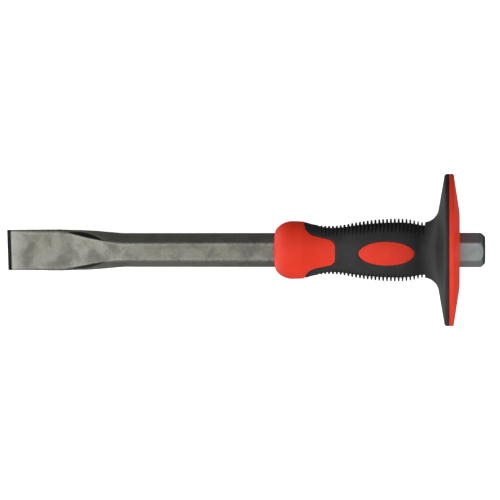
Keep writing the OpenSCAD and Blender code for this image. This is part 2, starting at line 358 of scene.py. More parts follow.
def surface_parts(grid, closed_rows=False, poles=None):
    """Vertices, quads and triangle fans of one closed surface. A grid that isn't closed along its
    rows ends in two poles, each a vertex joined to its whole end row."""
    rows, columns = grid.shape[:2]
    verts = grid.reshape(-1, 3)
    quads = grid_faces(rows, columns, closed_rows)
    fans = np.zeros((0, 3), int)
    if poles is not None:
        j = np.arange(columns)
        j1 = (j + 1) % columns
        first, last = len(verts), len(verts) + 1
        base = (rows - 1) * columns
        verts = np.concatenate([verts, np.asarray(poles, float)])
        fans = np.concatenate([
            np.stack([np.full(columns, first), j1, j], axis=-1),
            np.stack([np.full(columns, last), base + j, base + j1], axis=-1)])
    if volume(verts, quads, fans) < 0.0:
        quads, fans = quads[:, ::-1], fans[:, ::-1]
    return verts, quads, fans


def build_object(name, parts, attributes, material, body, node):
    """One object at the origin made of closed surfaces, with float attributes on its points.
    It rides on the body, takes the given material and stands for the CAD node."""
    verts, loops, starts = [], [], []
    offset = corner = 0
    for points, quads, fans in parts:
        verts.append(points)
        for faces in (quads, fans):
            if len(faces):
                loops.append(faces.reshape(-1) + offset)
                starts.append(corner + np.arange(len(faces)) * faces.shape[1])
                corner += faces.size
        offset += len(points)
    verts, loops, starts = np.concatenate(verts), np.concatenate(loops), np.concatenate(starts)
    mesh = bpy.data.meshes.new(name)
    mesh.vertices.add(len(verts))
    mesh.vertices.foreach_set("co", verts.astype(np.float32).reshape(-1))
    mesh.loops.add(len(loops))
    mesh.loops.foreach_set("vertex_index", loops.astype(np.int32))
    mesh.polygons.add(len(starts))
    mesh.polygons.foreach_set("loop_start", starts.astype(np.int32))
    mesh.update(calc_edges=True)
    for key, values in attributes.items():
        layer = mesh.attributes.new(key, "FLOAT", "POINT")
        layer.data.foreach_set("value", np.asarray(values, np.float32).reshape(-1))
    mesh.validate()
    mesh.shade_smooth()
    mesh.set_sharp_from_angle(angle=SHARP_ANGLE)
    mesh.materials.append(material)
    piece = bpy.data.objects.new(name, mesh)
    bpy.context.scene.collection.objects.link(piece)
    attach(piece, body)
    if node:
        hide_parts(node)
    return piece


def with_poles(values):
    """A grid's attribute values followed by a zero for each of its two poles."""
    return np.concatenate([np.asarray(values, float).reshape(-1), [0.0, 0.0]])


def ripple(p, wavelength, seed):
    """Smooth unevenness between 0 and 1: a sum of eight plane waves with seeded headings,
    0.5 + 0.5 * tanh(sum of sin(k . p + shift) / 2)."""
    draw = np.random.default_rng(seed)
    heading = draw.normal(size=(8, 3))
    heading /= np.linalg.norm(heading, axis=1, keepdims=True)
    waves = heading * (2.0 * math.pi / wavelength) * draw.uniform(0.6, 1.7, size=(8, 1))
    shift = draw.uniform(0.0, 2.0 * math.pi, size=8)
    total = np.zeros(p.shape[:-1])
    for wave, start in zip(waves, shift):
        total += np.sin(p @ wave + start)
    return 0.5 + 0.5 * np.tanh(total / 2.0)


def hex_radius(phi, half_flats, corner):
    """Distance from the axis to a rounded hexagon with flats facing +-Z: half_flats / cos(d) on a
    flat, d being the angle to the flat's normal, and a circle of radius corner round each corner."""
    sector = 2.0 * HEX_HALF
    d = np.abs((np.asarray(phi) + HEX_HALF) % sector - HEX_HALF)
    flat = half_flats / np.cos(d)
    c = (half_flats - corner) / math.cos(HEX_HALF)
    a = HEX_HALF - d
    rounded = c * np.cos(a) + np.sqrt(np.maximum(corner**2 - (c * np.sin(a)) ** 2, 0.0))
    turn = math.atan2(corner * math.sin(HEX_HALF), c + corner * math.cos(HEX_HALF))
    return np.where(a < turn, rounded, flat)


# ---------------------------------------------------------------- lines of the grip


def sleeve_radius(s):
    """Outside of the core's sleeve: the bar's rounded corner and the sleeve's wall."""
    corner = s.bar.corner_radius
    reach = HALF_FLATS / math.cos(HEX_HALF) - corner * (1.0 / math.cos(HEX_HALF) - 1.0)
    return reach + s.grip.sleeve_wall


def ring_x(s):
    """Back edge of the collar's ring."""
    return FRONT_X + s.grip.ring_length


def grip_outline(s):
    """Outer line of the grip as [x, radius], from the collar's front face to the parting plane:
    shoulder arc, a parabola along the ring, waist arc, S-curve to the belly, S-curve to the neck,
    flare, straight front face and rounded rim."""
    g, u = s.grip, s.guard
    sleeve = sleeve_radius(s)
    lip, ring = sleeve + g.lip_pad, sleeve + g.ring_pad
    waist, neck = sleeve + g.waist_pad, sleeve + g.neck_pad
    rise = g.shoulder_radius - COLLAR_R + lip
    shoulder_x = FRONT_X + math.sqrt(g.shoulder_radius**2 - rise**2)
    t = np.linspace(math.acos(rise / g.shoulder_radius), 0.0, ARC_STEPS + 1)
    shoulder = np.stack([shoulder_x - g.shoulder_radius * np.sin(t),
                         COLLAR_R - g.shoulder_radius * (1.0 - np.cos(t))], axis=-1)
    run = np.linspace(0.0, ring_x(s) - shoulder_x, ARC_STEPS + 1)[1:]
    slow = np.stack([shoulder_x + run, COLLAR_R - (COLLAR_R - ring) * (run / run[-1]) ** 2], axis=-1)
    waist_x = ring_x(s) + g.waist_from_ring
    drop = ring - waist
    big = (g.waist_from_ring**2 + drop**2) / (2.0 * drop)
    t = np.linspace(math.asin(g.waist_from_ring / big), 0.0, ARC_STEPS + 1)[1:]
    hollow = np.stack([waist_x - big * np.sin(t), waist + big * (1.0 - np.cos(t))], axis=-1)
    heading = math.pi / 2.0 - u.front_slope
    rim = [PART_X - u.rim_front, GUARD_R]
    flare = fillet([0.0, neck], 0.0, rim, heading, g.flare_radius)
    belly_x = flare[0, 0] - g.belly_from_neck
    rear = s_curve([-belly_x, BELLY_R], [-(waist_x + g.waist_length), waist], g.belly_share)
    rise_to_belly = (rear * [-1.0, 1.0])[::-1]
    fall = s_curve([belly_x, BELLY_R], [flare[0, 0], neck], g.neck_share)
    edge = fillet(rim, heading, [0.0, GUARD_R], 0.0, -u.rim_front_radius)
    face = np.linspace(flare[-1], edge[0], 2 * ARC_STEPS)[1:-1]
    return np.concatenate([shoulder, slow, hollow, rise_to_belly, fall[1:-1], flare, face, edge])


def radius_at(line, x):
    """Radius of an outline of [x, radius] at x."""
    return np.interp(x, line[:, 0], line[:, 1])


def tongue_outline(s):
    """Half of a tongue in plan, as [x, y] from the ring's edge to the middle of its nose: the root
    fillet, the straight side, the nose's corner and half of its flat end."""
    g = s.grip
    nose_x = ring_x(s) + g.tongue_length
    nose = [nose_x, g.tongue_width / 2.0]
    root = fillet([ring_x(s), 0.0], -math.pi / 2.0, nose, -g.tongue_taper, g.root_radius)
    tip = fillet(nose, -g.tongue_taper, [nose_x, 0.0], -math.pi / 2.0, -g.nose_radius)
    return np.concatenate([root, tip, [[nose_x, 0.0]]])


def oval_middle(s):
    """Place of the ovals' middle along the tool."""
    return PART_X - s.grip.oval_from_guard


def distance_to(points, line):
    """Distance from each point to a polyline: the least over its segments of |p - a - t (b - a)|,
    t being the foot of the perpendicular held between 0 and 1."""
    a, b = line[:-1], line[1:]
    best = np.full(points.shape[:-1], np.inf)
    for start, step in zip(a, b - a):
        d = points - start
        t = np.clip((d @ step) / (step @ step), 0.0, 1.0)
        best = np.minimum(best, np.linalg.norm(d - t[..., None] * step, axis=-1))
    return best


def inside_core(s, x, y):
    """Signed distance in plan to what shows of the hard core behind the ring, negative inside:
    the tongue and the oval, both on the same axis."""
    half = even(tongue_outline(s), 0.4 * MM)
    points = np.stack([x, np.abs(y)], axis=-1)
    side = np.argsort(half[:, 1])
    reach = np.interp(np.abs(y), half[side, 1], half[side, 0])
    tongue = distance_to(points, half) * np.where(x < reach, -1.0, 1.0)
    t = np.linspace(0.0, math.pi, 80)
    a, b = s.grip.oval_length / 2.0, s.grip.oval_width / 2.0
    ring = np.stack([oval_middle(s) + a * np.cos(t), b * np.sin(t)], axis=-1)
    within = ((x - oval_middle(s)) / a) ** 2 + (y / b) ** 2 < 1.0
    oval = distance_to(points, ring) * np.where(within, -1.0, 1.0)
    return np.minimum(tongue, oval)


# ---------------------------------------------------------------- the forged bar


def bevel_length(s):
    """Length of the ground bevel along the tool: half of what it takes off the thickness, over
    tan(half the edge's angle)."""
    b = s.bar
    return (b.tip_thickness - b.edge_land) / 2.0 / math.tan(b.edge_angle / 2.0)


def bar_sections(s, u):
    """Half width, half width of the flat, half thickness and corner radius at distance u from the
    cutting edge. With t the way down the taper, the width spreads by a smooth step of t^0.78, the
    thickness falls in straight tapers, and the flat widens by t^1.55 until the sides are square."""
    b = s.bar
    reach = HALF_FLATS / math.cos(HEX_HALF)
    spread = np.clip((b.taper_length - u) / (b.taper_length - b.blade_length), 0.0, 1.0)
    spread = smooth(spread**SPREAD_POWER)
    ahead = np.clip(1.0 - u / b.blade_length, 0.0, 1.0)
    broad = HALF_BLADE - (HALF_BLADE - b.edge_width / 2.0) * ahead
    width = reach + (broad - reach) * spread
    thick = np.interp(
        u, [0.0, bevel_length(s), b.blade_length, b.taper_length],
        [b.edge_land / 2.0, b.tip_thickness / 2.0, b.blade_thickness / 2.0, HALF_FLATS])
    way = np.clip((b.taper_length - u) / (b.taper_length - b.square_length), 0.0, 1.0)
    flat = reach / 2.0 + (width - reach / 2.0) * way**FLAT_POWER
    rounder = smooth((way - ROUNDING_FROM) / (1.0 - ROUNDING_FROM))
    corner = b.corner_radius + (b.taper_corner - b.corner_radius) * smooth(way * SHARPENING)
    corner = corner + (b.blade_corner - corner) * rounder
    return width, flat, thick, np.minimum(corner, CORNER_LIMIT * thick)


def rounded_section(corners, radius, arc_points, side_points):
    """Rounded polygons, one per row. Each corner becomes an arc c + r n, where n swings from the
    normal of the side before it to that of the side after it, and each side is divided evenly.
    Returns the points and how near each is to a true corner, exp(-(distance / 0.9 mm)^2)."""
    before = corners - np.roll(corners, 1, axis=1)
    after = np.roll(corners, -1, axis=1) - corners
    n0 = np.stack([before[..., 1], -before[..., 0]], -1)
    n1 = np.stack([after[..., 1], -after[..., 0]], -1)
    n0 /= np.linalg.norm(n0, axis=-1, keepdims=True)
    n1 /= np.linalg.norm(n1, axis=-1, keepdims=True)
    half = np.arccos(np.clip((n0 * n1).sum(-1), -1.0, 1.0)) / 2.0
    inward = -(n0 + n1) / np.linalg.norm(n0 + n1, axis=-1, keepdims=True)
    centre = corners + inward * (radius[:, None] / np.cos(half))[..., None]
    t = np.linspace(0.0, 1.0, arc_points)[:, None]
    n = (1.0 - t) * n0[:, :, None] + t * n1[:, :, None]
    n /= np.linalg.norm(n, axis=-1, keepdims=True)
    arcs = centre[:, :, None] + radius[:, None, None, None] * n
    step = np.linspace(0.0, 1.0, side_points + 2)[1:-1][:, None]
    start, end = arcs[:, :, -1:], np.roll(arcs[:, :, :1], -1, axis=1)
    sides = start + (end - start) * step
    sharp = np.clip(half / math.radians(15.0), 0.0, 1.0)
    span = np.linalg.norm(end - start, axis=-1)
    near0 = np.exp(-((step[:, 0] * span / NEAR_EDGE) ** 2)) * sharp[..., None]
    near1 = np.exp(-(((1.0 - step[:, 0]) * span / NEAR_EDGE) ** 2))
    near1 = near1 * np.roll(sharp, -1, axis=1)[..., None]
    rows = corners.shape[0]
    near_arc = np.broadcast_to(sharp[..., None], arcs.shape[:3])
    points = np.concatenate([arcs, sides], axis=2).reshape(rows, -1, 2)
    near = np.concatenate([near_arc, np.maximum(near0, near1)], axis=2).reshape(rows, -1)
    return points, near


def bar_stations(s):
    """Distances of the bar's sections from the cutting edge: close together on the bevel and just
    behind it, 1.1 mm apart along the taper and 2.5 mm apart along the shank."""
    b = s.bar
    total, bevel = -EDGE_X, bevel_length(s)
    return np.unique(np.concatenate([
        np.linspace(0.0, bevel, 9)[:-1],
        bevel + np.array([-0.04, 0.0, 0.06, 0.25, 0.6]) * MM,
        np.arange(3.2 * MM, b.taper_length + 12.0 * MM, 1.1 * MM),
        np.arange(b.taper_length + 13.0 * MM, total - 12.0 * MM, 2.5 * MM),
        [total - 9.0 * MM, total - 6.0 * MM, total - 4.2 * MM]]))


def bar_masks(s, u, flat, grid, near):
    """Masks of the bar's sections: near an edge, where it is rubbed bright, or on the painted
    highlight line behind the bevel; on the ground bevel and just past it, where a dark reflection
    is painted; in the hollow along the flat's edge on each flank, which gets painted shade as well
    as a dip; and on the lengths rubbed paler at both ends."""
    b = s.bar
    bevel = bevel_length(s)
    beside = np.abs(grid[..., 1]) - flat[:, None]
    way = np.clip((u - b.blade_length) / b.hollow_length, 0.0, 1.0)
    reach = (b.hollow_width * np.sin(math.pi * way))[:, None]
    hollow = smooth((reach - beside) / HOLLOW_OUTER) * smooth((beside + 0.05 * MM) / HOLLOW_INNER)
    # Painted dark reflection: the ground mask reaches past the bevel onto the flat.
    ground = smooth((bevel + GROUND_PAST - u) / GROUND_FADE)[:, None]
    # Painted highlight: a bright line just behind the bevel.
    painted_highlight_line = np.exp(-(((u - bevel - HIGHLIGHT_LINE_PAST) / HIGHLIGHT_LINE_REACH) ** 2))[:, None]
    rubbed = np.maximum(smooth((b.rubbed_length - u) / b.rubbed_length),
                        smooth((u + b.rubbed_head + EDGE_X) / (0.4 * b.rubbed_head)))
    return {"edge": np.maximum(near * (1.0 - ground), painted_highlight_line),
            "ground": np.broadcast_to(ground, near.shape), "hollow": hollow,
            "tip": np.broadcast_to(rubbed[:, None], near.shape)}


def head_rows(s, last):
    """Rows that close the bar from its last section to the striking face. Each column's radius
    shrinks from the hexagon's to the face's along x = -L (q (1 - k) + k (1 - sqrt(1 - q^2))), with q
    running from 1 to 0. Returns the rows, how near each is to an edge and its painted shade."""
    b = s.bar
    radius = np.linalg.norm(last[:, 1:], axis=1)
    face = b.face_diameter / 2.0
    longest = radius.max() - face
    k = b.chamfer_bulge

    def chamfer_x(r):
        q = np.clip((r - face) / longest, 0.0, 1.0)
        return -b.chamfer_length * (q * (1.0 - k) + k * (1.0 - np.sqrt(1.0 - q * q)))

    rows = [(chamfer_x(radius) - back * MM, 1.0, math.exp(-((back / 0.5) ** 2)), 0.0)
            for back in (2.0, 0.8, 0.3, 0.1)]
    for part in (0.03, 0.1, 0.25, 0.45, 0.65, 0.82, 0.93, 0.98):
        r = radius + (face - radius) * part
        rows.append((chamfer_x(r) - 0.05 * MM * math.exp(-((part / 0.1) ** 2)), r / radius,
                     0.9 * math.exp(-((part / 0.08) ** 2)),
                     0.8 * smooth((0.85 - (r - face) / longest) / 0.35)))
    for part, sink in ((1.0, 0.05), (0.97, 0.01), (0.9, 0.0), (0.6, 0.0), (0.3, 0.0)):
        rows.append((-sink * MM, face * part / radius, math.exp(-(((1.0 - part) / 0.06) ** 2)), 0.0))
    x, scale, near, dark = table(rows, radius)
    return np.concatenate([x[..., None], last[None, :, 1:] * scale[..., None]], axis=-1), near, dark


def bar_grid(s):
    """Points of the bar from the cutting edge to the striking face, dented and hollowed along
    their normals, with the bar's masks."""
    b = s.bar
    u = bar_stations(s)
    bevel = bevel_length(s)
    w, f, t, corner = bar_sections(s, u)
    zero = np.zeros_like(u)
    corners = np.stack([
        np.stack([w, zero], -1), np.stack([f, t], -1), np.stack([-f, t], -1),
        np.stack([-w, zero], -1), np.stack([-f, -t], -1), np.stack([f, -t], -1)], axis=1)
    section, near = rounded_section(corners, corner, 7, 17)
    x = np.broadcast_to((EDGE_X + u)[:, None], near.shape)
    grid = np.concatenate([x[..., None], section], axis=-1)
    masks = bar_masks(s, u, f, grid, near)
    uneven = ripple(grid, 11.0 * MM, 3) * 0.6 + ripple(grid, 4.5 * MM, 4) * 0.4
    forged = smooth((b.taper_length + 6.0 * MM - u) / (14.0 * MM)) * smooth((u - bevel) / (2.0 * MM))
    depth = b.dents * (0.3 + 0.7 * forged)[:, None] * uneven
    depth *= smooth((u - bevel) / (2.0 * MM))[:, None]
    grid = grid - grid_normals(grid, False) * (depth + b.hollow_depth * masks["hollow"])[..., None]
    head, head_near, head_dark = head_rows(s, grid[-1])
    # The head's chamfer takes painted shade through the hollow mask.
    ends = {"edge": head_near, "hollow": head_dark}
    none = np.zeros_like(head_near)
    masks = {key: np.concatenate([mask, ends.get(key, none)]) for key, mask in masks.items()}
    return np.concatenate([grid, head]), masks


# ---------------------------------------------------------------- core, inlays, soft grip, backing


def quadrants(quarter):
    """Angles of a full turn from those of its first quarter, 0 and a right angle included."""
    q = np.unique(quarter)
    half = np.concatenate([q, (math.pi - q[:-1])[::-1]])
    return np.concatenate([half, math.pi + q[1:], (2.0 * math.pi - q[1:-1])[::-1]])


def core_edge(s, line):
    """The outline of a tongue and of the ring's back edge beside it, by the angle from +Z towards
    +Y, where a point (x, y) stands at asin(y / r(x)). Returns the angles, x and the outline's own
    outward normal in plan."""
    half = even(tongue_outline(s), 0.33 * MM)
    tangent = np.gradient(half, axis=0)
    normal = np.stack([-tangent[:, 1], tangent[:, 0]], -1)
    normal /= np.linalg.norm(normal, axis=1, keepdims=True)
    keep = half[:, 1] < 0.985 * radius_at(line, half[:, 0])
    half, normal = half[keep][::-1], normal[keep][::-1]
    backwards = [1.0, 0.0]
    normal[0] = backwards
    side_y = COLLAR_R - 0.5 * (COLLAR_R - radius_at(line, ring_x(s)))
    extra = np.linspace(half[-1, 1], side_y, 8)[1:]
    half = np.concatenate([half, np.stack([np.full(len(extra), ring_x(s)), extra], -1)])
    normal = np.concatenate([normal, np.tile(backwards, (len(extra), 1))])
    phi = np.arcsin(np.clip(half[:, 1] / radius_at(line, half[:, 0]), 0.0, 1.0))
    phi[-1] = math.pi / 2.0
    order = np.argsort(phi)
    return phi[order], half[order, 0], normal[order]


def collar_grid(s):
    """Closed grid of the core and the mask of its painted highlight along the edge: bore, front
    face, collar and tongues, a rounded edge along the outline, a wall down to the sleeve, and the
    sleeve back to the guard. A column's outer rows run from the collar's widest place to the
    outline, turning as they near it so that the rounded edge follows the outline's own normal."""
    line = grip_outline(s)
    sleeve = sleeve_radius(s)
    clear = s.grip.bevel
    phi, outline_x, normal = core_edge(s, line)
    turn = quadrants(phi)
    fold = np.arcsin(np.clip(np.abs(np.sin(turn)), 0.0, 1.0))
    x_end = np.interp(fold, phi, outline_x)
    nx = np.interp(fold, phi, normal[:, 0])
    ny = np.interp(fold, phi, normal[:, 1])
    y_end = radius_at(line, x_end) * np.sin(fold)
    sign_y, sign_z = np.sign(np.sin(turn)), np.sign(np.cos(turn))

    def folded(off):
        """Folded angle of the point that lies off bevels inside the outline."""
        y = y_end - ny * clear * off
        return np.arcsin(np.clip(y / radius_at(line, x_end - nx * clear * off), 0.0, 1.0))

    def unfold(a):
        """Angle of the full turn with the given folded angle, in the column's own quarter."""
        return np.arctan2(sign_y * np.sin(a), sign_z * np.cos(a)) % (2.0 * math.pi)

    hexagon = hex_radius(turn, HALF_FLATS + BORE_GAP, s.bar.corner_radius)
    lip = line[0, 1]
    rows = [(FRONT_X + back * MM, hexagon + out * MM, turn, 0.0)
            for back, out in ((1.2, 0.0), (0.5, 0.02), (0.12, 0.18), (0.0, 0.5))]
    rows += [(FRONT_X, (hexagon + lip) / 2.0, turn, 0.0), (FRONT_X, lip - 0.35 * MM, turn, 0.0),
             (FRONT_X + 0.12 * MM, lip - 0.02 * MM, turn, 0.0)]
    rows += [(x, r, turn, 0.0) for x, r in line[1:ARC_STEPS + 1]]
    wide_x = line[ARC_STEPS, 0]
    inner_fold = folded(1.0)
    # The outline's last row and the rounded edge carry the painted highlight mask.
    for part in np.linspace(0.0, 1.0, 30)[1:]:
        x = wide_x + (x_end - nx * clear - wide_x) * part
        at = unfold(fold + (inner_fold - fold) * part**3)
        rows.append((x, radius_at(line, x), at, 0.35 if part == 1.0 else 0.0))
    for (off, drop), wear_highlight_mask in zip(ROUND_EDGE, (0.7, 1.0, 0.8, 0.3, 0.0)):
        x = x_end - nx * clear * off
        rows.append((x, radius_at(line, x) - drop * clear, unfold(folded(off)), wear_highlight_mask))
    top = radius_at(line, x_end) - 0.5 * clear
    rows += [(x_end, top * (1.0 - part) + sleeve * part, turn, 0.0) for part in (0.3, 1.0)]
    rows += [(x_end + (PART_X - x_end) * part, sleeve, turn, 0.0) for part in (0.33, 0.66, 1.0)]
    rows += [(x, hexagon, turn, 0.0) for x in (PART_X, (PART_X + FRONT_X) / 2.0)]
    x, r, at, wear_highlight_mask = table(rows, turn)
    return around(x, r, at), wear_highlight_mask


def inlay_grid(s, side):
    """One oval inlay: rings of the ellipse (a q cos t, b q sin t) on the grip's surface
    z = sqrt(r(x)^2 - y^2), a rounded edge along the ellipse's normal, a wall and a flat bottom.
    The side is +1 or -1 along Z. Returns the grid, its two poles and the mask of its painted highlight
    along the edge."""
    g = s.grip
    line = grip_outline(s)
    middle = oval_middle(s)
    clear = g.bevel
    bottom = sleeve_radius(s) + INLAY_BASE
    t = np.linspace(0.0, 2.0 * math.pi, 145)[:-1]
    a, b = g.oval_length / 2.0, g.oval_width / 2.0
    ex, ey = a * np.cos(t), b * np.sin(t)
    normal = np.stack([np.cos(t) / a, np.sin(t) / b], -1)
    normal /= np.linalg.norm(normal, axis=1, keepdims=True)

    def surface(x, y):
        r = radius_at(line, x)
        return np.sqrt(np.maximum(r * r - y * y, 0.0))

    rows = []
    for q in np.linspace(0.0, 1.0, 15)[1:]:
        x = middle + (ex - normal[:, 0] * clear) * q
        y = (ey - normal[:, 1] * clear) * q
        rows.append((x, y, surface(x, y), 0.0))
    # The rounded edge carries the painted highlight mask.
    for off, drop in ROUND_EDGE:
        x = middle + ex - normal[:, 0] * clear * off
        y = ey - normal[:, 1] * clear * off
        rows.append((x, y, surface(x, y) - drop * clear, 1.0 - abs(off - 0.25) * 1.2))
    x = middle + ex
    top = surface(x, ey) - 0.5 * clear
    rows += [(x, ey, top * (1.0 - part) + bottom * part, 0.0) for part in (0.3, 1.0)]
    rows.append((middle + ex * 0.5, ey * 0.5, bottom, 0.0))
    x, y, z, wear_highlight_mask = table(rows, t)
    poles = [[middle, 0.0, side * surface(middle, 0.0)], [middle, 0.0, side * bottom]]
    return np.stack([x, y, side * z], axis=-1), poles, wear_highlight_mask


def groove_middles(s):
    """Places of the grooves: evenly spread between the first and the last, a pitch apart at least."""
    first = ring_x(s) + s.grip.rib_from_ring
    last = PART_X - s.grip.rib_from_guard
    count = int(math.floor((last - first) / s.grip.rib_pitch))
    return np.linspace(first, last, count + 1)


def groove_depth(s, x, top, phi):
    """Depth of the ribs' grooves. A groove's floor is a circle of radius low + shift about a point
    shift beyond the axis, which reaches the surface at the panel angle; across the groove the
    depth falls by a smooth step from the floor's edge to the mouth's."""
    g = s.grip
    middles = groove_middles(s)
    near = np.abs(x[:, None] - middles[None, :]).min(axis=1)
    profile = 1.0 - smooth((near - g.groove_floor / 2.0) / ((g.groove_mouth - g.groove_floor) / 2.0))
    sleeve = sleeve_radius(s)
    waist = sleeve + g.waist_pad
    part = (top - waist) / (BELLY_R - waist)
    fade = np.clip((x - middles[0] + g.rib_pitch) / g.rib_fade, 0.05, 1.0)
    low = top - fade * (g.groove_waist + (g.groove_belly - g.groove_waist) * part)
    run = top * math.sin(g.panel_angle)
    shift = (top**2 - low**2) / (2.0 * (low - run))
    side = np.arccos(np.clip(np.abs(np.sin(phi)), 0.0, 1.0))[None, :]
    shift, low = shift[:, None], low[:, None]
    floor = -shift * np.cos(side) + np.sqrt((low + shift) ** 2 - (shift * np.sin(side)) ** 2)
    return np.maximum(top[:, None] - floor, 0.0) * profile[:, None]


def grip_grid(s):
    """Closed grid of the soft grip: its front face at the ring, its outer surface
    r = outline(x) - grooves - recess, the guard's front, the rim and the bore. The recess sinks
    to just over the sleeve inside the hard core's outline, with a softly rounded lip. The columns
    stand closer together over the core than over the ribs."""
    g = s.grip
    line = grip_outline(s)
    sleeve = sleeve_radius(s)
    start = ring_x(s) + g.seam
    middles = groove_middles(s)
    pitch = middles[1] - middles[0]
    floor, mouth = g.groove_floor / 2.0, g.groove_mouth / 2.0
    steps = np.array([-0.5 * pitch, -mouth - 0.08 * MM, -mouth, -floor, -floor + 0.12 * MM,
                      floor - 0.12 * MM, floor, mouth, mouth + 0.08 * MM])
    ribs = (middles[:, None] + steps[None, :]).reshape(-1)
    ahead = np.arange(start + 0.25 * MM, ribs[0] - 0.1 * MM, 0.33 * MM)
    behind = line[line[:, 0] > middles[-1] + 0.5 * pitch]
    behind_x = behind[:, 0]
    x = np.concatenate([ahead, ribs, [middles[-1] + 0.5 * pitch], behind_x])
    top = radius_at(line, x)
    top[-len(behind_x):] = behind[:, 1]
    over_core, over_ribs = np.arange(0.0, 54.0, 1.15), np.linspace(54.0, 90.0, 13)
    phi = quadrants(np.radians(np.concatenate([over_core, over_ribs])))
    grooved = x < middles[-1] + 0.5 * pitch
    radius = np.repeat(top[:, None], len(phi), 1)
    radius[grooved] -= groove_depth(s, x[grooved], top[grooved], phi)
    zone = x < oval_middle(s) + g.oval_length / 2.0 + 3.0 * MM
    plan_x = np.repeat(x[zone][:, None], len(phi), 1)
    plan_y = top[zone][:, None] * np.sin(phi)[None, :]
    away = inside_core(s, plan_x, plan_y) - g.seam
    sink = smooth(-away / SINK_REACH)
    lip = LIP_DEPTH * (1.0 - smooth(away / LIP_REACH))
    radius[zone] = (radius[zone] - lip) * (1.0 - sink) + (sleeve + BED) * sink
    ring, inside, end = radius[0], sleeve + HAIR, PART_X - HAIR
    front_x, front_r = table([(start, inside), (start, ring - 0.4 * MM),
                              (start + 0.05 * MM, ring - 0.15 * MM)], phi)
    rear_x, rear_r = table([(end - 0.25 * MM, GUARD_R - HAIR), (end, GUARD_R - 0.3 * MM),
                            (end, (GUARD_R + sleeve) / 2.0), (end, inside)], phi)
    x = np.concatenate([front_x, np.repeat(x[:, None], len(phi), 1), rear_x])
    return around(x, np.concatenate([front_r, radius, rear_r]), phi[None, :])


def backing_grid(s):
    """Closed grid of the guard's hard half: parting face, rim, sloping back, hub with its slight
    dish and the hexagonal bore. Every row is a circle but those of the bore."""
    u = s.guard
    phi = np.linspace(0.0, 2.0 * math.pi, u.columns + 1)[:-1]
    hexagon = hex_radius(phi, HALF_FLATS + BORE_GAP, s.bar.corner_radius)
    heading = u.back_slope - math.pi / 2.0
    hub = [BACK_X, u.hub_radius]
    rim = fillet([0.0, GUARD_R], 0.0, hub, heading, -u.rim_back_radius)
    knee = fillet(hub, heading, [BACK_X, 0.0], -math.pi / 2.0, -u.hub_rounding)
    slope = np.linspace(rim[-1], knee[0], 14)[1:-1]
    inner = knee[-1, 1]
    rows = [(PART_X, GUARD_R - 0.3 * MM), (PART_X + 0.25 * MM, GUARD_R - HAIR)]
    rows += [(x, r) for x, r in np.concatenate([rim, slope, knee])]
    rows += [(BACK_X - u.dish * smooth(part), inner + (hexagon + 0.4 * MM - inner) * part)
             for part in (0.25, 0.5, 0.75, 0.95)]
    rows += [(BACK_X - u.dish - sink * MM, hexagon + out * MM)
             for out, sink in ((0.4, 0.0), (0.12, 0.12), (0.0, 0.4))]
    rows += [(PART_X, hexagon), (PART_X, (GUARD_R + sleeve_radius(s)) / 2.0)]
    x, r = table(rows, phi)
    return around(x, r, phi[None, :])


# ---------------------------------------------------------------- shader groups and materials


def new_node(tree, kind, **settings):
    """A node of the given kind with its plain settings."""
    node = tree.nodes.new(kind)
    for key, value in settings.items():
        setattr(node, key, value)
    return node


def feed(tree, node, values):
    """Sets a node's inputs: a socket is linked and anything else becomes the socket's value."""
    for key, value in values.items():
        socket = node.inputs[key]
        if isinstance(value, bpy.types.NodeSocket):
            tree.links.new(value, socket)
        else:
            socket.default_value = value
    return node


def new_group(name, inputs, outputs):
    """An empty shader group with inputs given as (name, kind, default) and outputs as (name, kind).
    Returns its tree, what comes in and what goes out."""
    tree = bpy.data.node_groups.new(name, "ShaderNodeTree")
    for label, kind, value in inputs:
        socket = tree.interface.new_socket(label, in_out="INPUT", socket_type="NodeSocket" + kind)
        if value is not None:
            socket.default_value = value
    for label, kind in outputs:
        tree.interface.new_socket(label, in_out="OUTPUT", socket_type="NodeSocket" + kind)
    start = tree.nodes.new("NodeGroupInput")
    end = tree.nodes.new("NodeGroupOutput")
    return tree, start.outputs, end


def ease(tree, value, start, end, low=0.0, high=1.0):
    """Smooth step of a value, from low where the value is start to high where it is end."""
    node = new_node(tree, "ShaderNodeMapRange", interpolation_type="SMOOTHSTEP")
    feed(tree, node, {"Value": value, "From Min": start, "From Max": end,
                      "To Min": low, "To Max": high})
    return node.outputs["Result"]


def attribute(tree, name):
    """One of the masks that the piece's mesh carries."""
    return new_node(tree, "ShaderNodeAttribute", attribute_name=name).outputs["Fac"]


def math_node(tree, operation, a, b):
    """Result of an operation on two sockets or numbers."""
    node = new_node(tree, "ShaderNodeMath", operation=operation)
    feed(tree, node, {0: a, 1: b})
    return node.outputs[0]


def times(tree, a, b):
    """Product of two sockets or numbers."""
    return math_node(tree, "MULTIPLY", a, b)


def mix_colour(tree, factor, a, b):
    """Colour a where the factor is 0 and b where it is 1."""
    node = new_node(tree, "ShaderNodeMix", data_type="RGBA")
    sockets = {i.identifier: i for i in node.inputs}
    for key, value in (("Factor_Float", factor), ("A_Color", a), ("B_Color", b)):
        if isinstance(value, bpy.types.NodeSocket):
            tree.links.new(value, sockets[key])
        elif key == "Factor_Float":
            sockets[key].default_value = value
        else:
            sockets[key].default_value = (*value, 1.0)
    return next(o for o in node.outputs if o.identifier == "Result_Color")


def noise(tree, given, values):
    """Noise at the group's own place and scale."""
    node = new_node(tree, "ShaderNodeTexNoise")
    feed(tree, node, {"Vector": given["Vector"], "Scale": given["Scale"], **values})
    return node.outputs["Fac"]


def patches_group():
    """Soft-edged patches: noise through a smooth step. Puts out the mask."""
    tree, given, end = new_group(
        "patches",
        [("Vector", "Vector", None), ("Scale", "Float", 100.0), ("Low", "Float", 0.4),
         ("High", "Float", 0.6)],
        [("Mask", "Float")])
    cloud = noise(tree, given, {"Detail": 4.0, "Roughness": 0.6, "Distortion": 0.4})
    feed(tree, end, {"Mask": ease(tree, cloud, given["Low"], given["High"])})
    return tree


